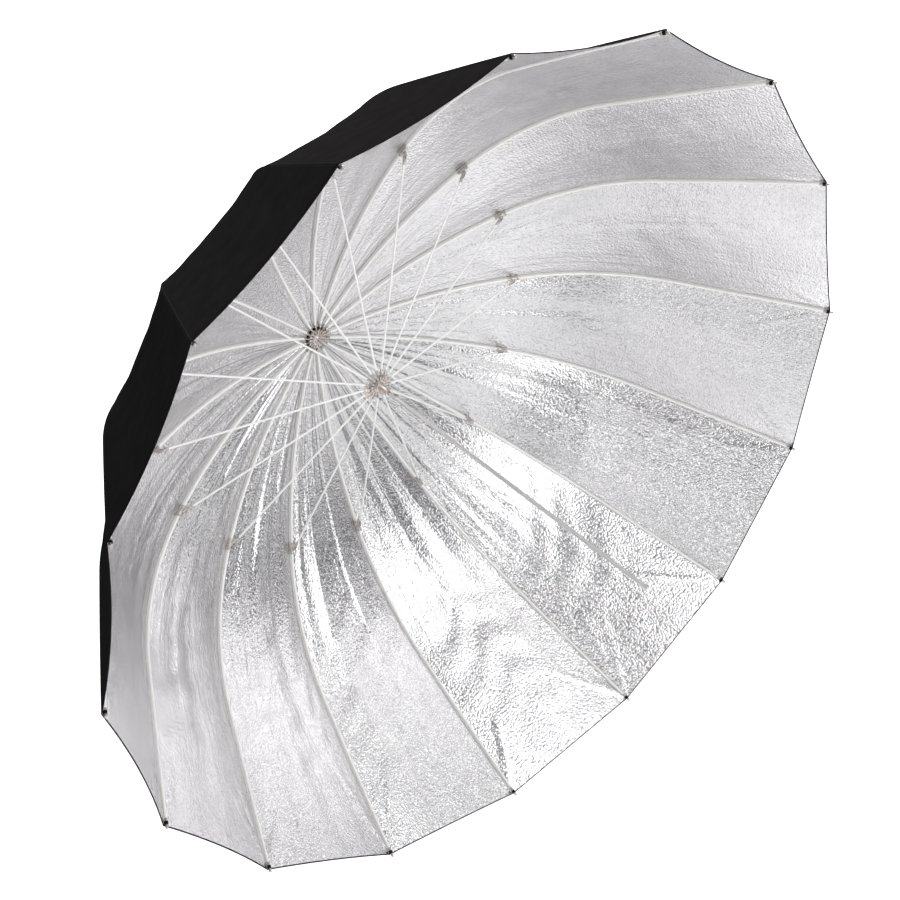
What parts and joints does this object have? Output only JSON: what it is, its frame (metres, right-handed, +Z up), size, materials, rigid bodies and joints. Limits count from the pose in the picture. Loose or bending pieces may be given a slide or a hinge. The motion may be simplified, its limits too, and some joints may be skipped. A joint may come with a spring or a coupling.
{
  "type": "umbrella reflector",
  "caption": "Deep folding umbrella reflector with a silver lining and black shell, for bouncing a studio light held on a stand's bracket.",
  "frame": {"origin": "on the shaft's centre line where a stand's bracket grips it, just in front of the canopy's mouth", "axes": "+Y along the shaft from the open mouth towards the crown, +Z up, +X to the right seen from the mouth's side"},
  "size_m": [1.6532, 0.9636, 1.6532],
  "materials": {
    "shaft_steel": "satin",
    "nickel_fittings": "satin",
    "white_rod": "satin",
    "silver_lining": "gloss",
    "black_shell": "matte",
    "black_plastic": "satin"
  },
  "bodies": {
    "shaft": {"shaft_tube": "shaft_steel", "crown_hub": "nickel_fittings", "crown_wire": "shaft_steel", "crown_pin": "shaft_steel", "crown_patch": "black_shell", "rear_cap": "black_plastic", "runner_stop": "nickel_fittings", "catch_pin": "shaft_steel", "end_cap": "shaft_steel"},
    "runner": {"runner_hub": "nickel_fittings", "runner_wire": "shaft_steel"},
    "catch": {"catch": "nickel_fittings"},
    "rib_01": {"rib_01": "white_rod", "canopy_panel_01": "silver_lining"},
    "stretcher_01": {"stretcher_01": "white_rod"},
    "rib_02": {"rib_02": "white_rod", "canopy_panel_02": "silver_lining"},
    "stretcher_02": {"stretcher_02": "white_rod"},
    "rib_03": {"rib_03": "white_rod", "canopy_panel_03": "silver_lining"},
    "stretcher_03": {"stretcher_03": "white_rod"},
    "rib_04": {"rib_04": "white_rod", "canopy_panel_04": "silver_lining"},
    "stretcher_04": {"stretcher_04": "white_rod"},
    "rib_05": {"rib_05": "white_rod", "canopy_panel_05": "silver_lining"},
    "stretcher_05": {"stretcher_05": "white_rod"},
    "rib_06": {"rib_06": "white_rod", "canopy_panel_06": "silver_lining"},
    "stretcher_06": {"stretcher_06": "white_rod"},
    "rib_07": {"rib_07": "white_rod", "canopy_panel_07": "silver_lining"},
    "stretcher_07": {"stretcher_07": "white_rod"},
    "rib_08": {"rib_08": "white_rod", "canopy_panel_08": "silver_lining"},
    "stretcher_08": {"stretcher_08": "white_rod"},
    "rib_09": {"rib_09": "white_rod", "canopy_panel_09": "silver_lining"},
    "stretcher_09": {"stretcher_09": "white_rod"},
    "rib_10": {"rib_10": "white_rod", "canopy_panel_10": "silver_lining"},
    "stretcher_10": {"stretcher_10": "white_rod"},
    "rib_11": {"rib_11": "white_rod", "canopy_panel_11": "silver_lining"},
    "stretcher_11": {"stretcher_11": "white_rod"},
    "rib_12": {"rib_12": "white_rod", "canopy_panel_12": "silver_lining"},
    "stretcher_12": {"stretcher_12": "white_rod"},
    "rib_13": {"rib_13": "white_rod", "canopy_panel_13": "silver_lining"},
    "stretcher_13": {"stretcher_13": "white_rod"},
    "rib_14": {"rib_14": "white_rod", "canopy_panel_14": "silver_lining"},
    "stretcher_14": {"stretcher_14": "white_rod"},
    "rib_15": {"rib_15": "white_rod", "canopy_panel_15": "silver_lining"},
    "stretcher_15": {"stretcher_15": "white_rod"},
    "rib_16": {"rib_16": "white_rod", "canopy_panel_16": "silver_lining"},
    "stretcher_16": {"stretcher_16": "white_rod"}
  },
  "joints": [
    {"name": "rib_01_fold", "type": "hinge", "parent": "shaft", "child": "rib_01", "pos_m": [0.01699, 0.614, 0.00053], "axis": [0.0314, 0, -0.9995], "range_deg": [0, 52.5], "deforming": ["canopy_panel_01", "catch"]},
    {"name": "stretcher_01_swing", "type": "hinge", "parent": "rib_01", "child": "stretcher_01", "pos_m": [0.42392, 0.51351, 0.01332], "axis": [0.0314, 0, -0.9995], "range_deg": [-105, 0]},
    {"name": "rib_02_fold", "type": "hinge", "parent": "shaft", "child": "rib_02", "pos_m": [0.01549, 0.614, 0.007], "axis": [0.4115, 0, -0.9114], "range_deg": [0, 52.5], "deforming": ["canopy_panel_02"]},
    {"name": "stretcher_02_swing", "type": "hinge", "parent": "rib_02", "child": "stretcher_02", "pos_m": [0.38656, 0.51351, 0.17454], "axis": [0.4115, 0, -0.9114], "range_deg": [-105, 0]},
    {"name": "rib_03_fold", "type": "hinge", "parent": "shaft", "child": "rib_03", "pos_m": [0.01164, 0.614, 0.01239], "axis": [0.729, 0, -0.6845], "range_deg": [0, 52.5], "deforming": ["canopy_panel_03"]},
    {"name": "stretcher_03_swing", "type": "hinge", "parent": "rib_03", "child": "stretcher_03", "pos_m": [0.29034, 0.51351, 0.30918], "axis": [0.729, 0, -0.6845], "range_deg": [-105, 0]},
    {"name": "rib_04_fold", "type": "hinge", "parent": "shaft", "child": "rib_04", "pos_m": [0.00601, 0.614, 0.0159], "axis": [0.9354, 0, -0.3535], "range_deg": [0, 52.5], "deforming": ["canopy_panel_04"]},
    {"name": "stretcher_04_swing", "type": "hinge", "parent": "rib_04", "child": "stretcher_04", "pos_m": [0.14992, 0.51351, 0.39675], "axis": [0.9354, 0, -0.3535], "range_deg": [-105, 0]},
    {"name": "rib_05_fold", "type": "hinge", "parent": "shaft", "child": "rib_05", "pos_m": [-0.00053, 0.614, 0.01699], "axis": [0.9995, 0, 0.0314], "range_deg": [0, 52.5], "deforming": ["canopy_panel_05"]},
    {"name": "stretcher_05_swing", "type": "hinge", "parent": "rib_05", "child": "stretcher_05", "pos_m": [-0.01332, 0.51351, 0.42392], "axis": [0.9995, 0, 0.0314], "range_deg": [-105, 0]},
    {"name": "rib_06_fold", "type": "hinge", "parent": "shaft", "child": "rib_06", "pos_m": [-0.007, 0.614, 0.01549], "axis": [0.9114, 0, 0.4115], "range_deg": [0, 52.5], "deforming": ["canopy_panel_06"]},
    {"name": "stretcher_06_swing", "type": "hinge", "parent": "rib_06", "child": "stretcher_06", "pos_m": [-0.17454, 0.51351, 0.38656], "axis": [0.9114, 0, 0.4115], "range_deg": [-105, 0]},
    {"name": "rib_07_fold", "type": "hinge", "parent": "shaft", "child": "rib_07", "pos_m": [-0.01239, 0.614, 0.01164], "axis": [0.6845, 0, 0.729], "range_deg": [0, 52.5], "deforming": ["canopy_panel_07"]},
    {"name": "stretcher_07_swing", "type": "hinge", "parent": "rib_07", "child": "stretcher_07", "pos_m": [-0.30918, 0.51351, 0.29034], "axis": [0.6845, 0, 0.729], "range_deg": [-105, 0]},
    {"name": "rib_08_fold", "type": "hinge", "parent": "shaft", "child": "rib_08", "pos_m": [-0.0159, 0.614, 0.00601], "axis": [0.3535, 0, 0.9354], "range_deg": [0, 52.5], "deforming": ["canopy_panel_08"]},
    {"name": "stretcher_08_swing", "type": "hinge", "parent": "rib_08", "child": "stretcher_08", "pos_m": [-0.39675, 0.51351, 0.14992], "axis": [0.3535, 0, 0.9354], "range_deg": [-105, 0]},
    {"name": "rib_09_fold", "type": "hinge", "parent": "shaft", "child": "rib_09", "pos_m": [-0.01699, 0.614, -0.00053], "axis": [-0.0314, 0, 0.9995], "range_deg": [0, 52.5], "deforming": ["canopy_panel_09"]},
    {"name": "stretcher_09_swing", "type": "hinge", "parent": "rib_09", "child": "stretcher_09", "pos_m": [-0.42392, 0.51351, -0.01332], "axis": [-0.0314, 0, 0.9995], "range_deg": [-105, 0]},
    {"name": "rib_10_fold", "type": "hinge", "parent": "shaft", "child": "rib_10", "pos_m": [-0.01549, 0.614, -0.007], "axis": [-0.4115, 0, 0.9114], "range_deg": [0, 52.5], "deforming": ["canopy_panel_10"]},
    {"name": "stretcher_10_swing", "type": "hinge", "parent": "rib_10", "child": "stretcher_10", "pos_m": [-0.38656, 0.51351, -0.17454], "axis": [-0.4115, 0, 0.9114], "range_deg": [-105, 0]},
    {"name": "rib_11_fold", "type": "hinge", "parent": "shaft", "child": "rib_11", "pos_m": [-0.01164, 0.614, -0.01239], "axis": [-0.729, 0, 0.6845], "range_deg": [0, 52.5], "deforming": ["canopy_panel_11"]},
    {"name": "stretcher_11_swing", "type": "hinge", "parent": "rib_11", "child": "stretcher_11", "pos_m": [-0.29034, 0.51351, -0.30918], "axis": [-0.729, 0, 0.6845], "range_deg": [-105, 0]},
    {"name": "rib_12_fold", "type": "hinge", "parent": "shaft", "child": "rib_12", "pos_m": [-0.00601, 0.614, -0.0159], "axis": [-0.9354, 0, 0.3535], "range_deg": [0, 52.5], "deforming": ["canopy_panel_12"]},
    {"name": "stretcher_12_swing", "type": "hinge", "parent": "rib_12", "child": "stretcher_12", "pos_m": [-0.14992, 0.51351, -0.39675], "axis": [-0.9354, 0, 0.3535], "range_deg": [-105, 0]},
    {"name": "rib_13_fold", "type": "hinge", "parent": "shaft", "child": "rib_13", "pos_m": [0.00053, 0.614, -0.01699], "axis": [-0.9995, 0, -0.0314], "range_deg": [0, 52.5], "deforming": ["canopy_panel_13"]},
    {"name": "stretcher_13_swing", "type": "hinge", "parent": "rib_13", "child": "stretcher_13", "pos_m": [0.01332, 0.51351, -0.42392], "axis": [-0.9995, 0, -0.0314], "range_deg": [-105, 0]},
    {"name": "rib_14_fold", "type": "hinge", "parent": "shaft", "child": "rib_14", "pos_m": [0.007, 0.614, -0.01549], "axis": [-0.9114, 0, -0.4115], "range_deg": [0, 52.5], "deforming": ["canopy_panel_14"]},
    {"name": "stretcher_14_swing", "type": "hinge", "parent": "rib_14", "child": "stretcher_14", "pos_m": [0.17454, 0.51351, -0.38656], "axis": [-0.9114, 0, -0.4115], "range_deg": [-105, 0]},
    {"name": "rib_15_fold", "type": "hinge", "parent": "shaft", "child": "rib_15", "pos_m": [0.01239, 0.614, -0.01164], "axis": [-0.6845, 0, -0.729], "range_deg": [0, 52.5], "deforming": ["canopy_panel_15"]},
    {"name": "stretcher_15_swing", "type": "hinge", "parent": "rib_15", "child": "stretcher_15", "pos_m": [0.30918, 0.51351, -0.29034], "axis": [-0.6845, 0, -0.729], "range_deg": [-105, 0]},
    {"name": "rib_16_fold", "type": "hinge", "parent": "shaft", "child": "rib_16", "pos_m": [0.0159, 0.614, -0.00601], "axis": [-0.3535, 0, -0.9354], "range_deg": [0, 52.5], "deforming": ["canopy_panel_16"]},
    {"name": "stretcher_16_swing", "type": "hinge", "parent": "rib_16", "child": "stretcher_16", "pos_m": [0.39675, 0.51351, -0.14992], "axis": [-0.3535, 0, -0.9354], "range_deg": [-105, 0]},
    {"name": "runner_on_stretcher", "type": "hinge", "parent": "stretcher_01", "child": "runner", "pos_m": [0.01699, 0.41301, 0.00053], "axis": [0.0314, 0, -0.9995], "range_deg": [0, 52.5]},
    {"name": "catch_press", "type": "hinge", "parent": "shaft", "child": "catch", "pos_m": [0, 0.34721, -0.0006], "axis": [-1, 0, 0], "range_deg": [0, 5], "stiffness_Nm_per_rad": 1, "springref_deg": -2.86}
  ],
  "couplings": [
    {"joint": "stretcher_01_swing", "follows": "rib_01_fold", "ratio": -2},
    {"joint": "rib_02_fold", "follows": "rib_01_fold", "ratio": 1},
    {"joint": "stretcher_02_swing", "follows": "rib_01_fold", "ratio": -2},
    {"joint": "rib_03_fold", "follows": "rib_01_fold", "ratio": 1},
    {"joint": "stretcher_03_swing", "follows": "rib_01_fold", "ratio": -2},
    {"joint": "rib_04_fold", "follows": "rib_01_fold", "ratio": 1},
    {"joint": "stretcher_04_swing", "follows": "rib_01_fold", "ratio": -2},
    {"joint": "rib_05_fold", "follows": "rib_01_fold", "ratio": 1},
    {"joint": "stretcher_05_swing", "follows": "rib_01_fold", "ratio": -2},
    {"joint": "rib_06_fold", "follows": "rib_01_fold", "ratio": 1},
    {"joint": "stretcher_06_swing", "follows": "rib_01_fold", "ratio": -2},
    {"joint": "rib_07_fold", "follows": "rib_01_fold", "ratio": 1},
    {"joint": "stretcher_07_swing", "follows": "rib_01_fold", "ratio": -2},
    {"joint": "rib_08_fold", "follows": "rib_01_fold", "ratio": 1},
    {"joint": "stretcher_08_swing", "follows": "rib_01_fold", "ratio": -2},
    {"joint": "rib_09_fold", "follows": "rib_01_fold", "ratio": 1},
    {"joint": "stretcher_09_swing", "follows": "rib_01_fold", "ratio": -2},
    {"joint": "rib_10_fold", "follows": "rib_01_fold", "ratio": 1},
    {"joint": "stretcher_10_swing", "follows": "rib_01_fold", "ratio": -2},
    {"joint": "rib_11_fold", "follows": "rib_01_fold", "ratio": 1},
    {"joint": "stretcher_11_swing", "follows": "rib_01_fold", "ratio": -2},
    {"joint": "rib_12_fold", "follows": "rib_01_fold", "ratio": 1},
    {"joint": "stretcher_12_swing", "follows": "rib_01_fold", "ratio": -2},
    {"joint": "rib_13_fold", "follows": "rib_01_fold", "ratio": 1},
    {"joint": "stretcher_13_swing", "follows": "rib_01_fold", "ratio": -2},
    {"joint": "rib_14_fold", "follows": "rib_01_fold", "ratio": 1},
    {"joint": "stretcher_14_swing", "follows": "rib_01_fold", "ratio": -2},
    {"joint": "rib_15_fold", "follows": "rib_01_fold", "ratio": 1},
    {"joint": "stretcher_15_swing", "follows": "rib_01_fold", "ratio": -2},
    {"joint": "rib_16_fold", "follows": "rib_01_fold", "ratio": 1},
    {"joint": "stretcher_16_swing", "follows": "rib_01_fold", "ratio": -2},
    {"joint": "runner_on_stretcher", "follows": "rib_01_fold", "ratio": 1}
  ]
}
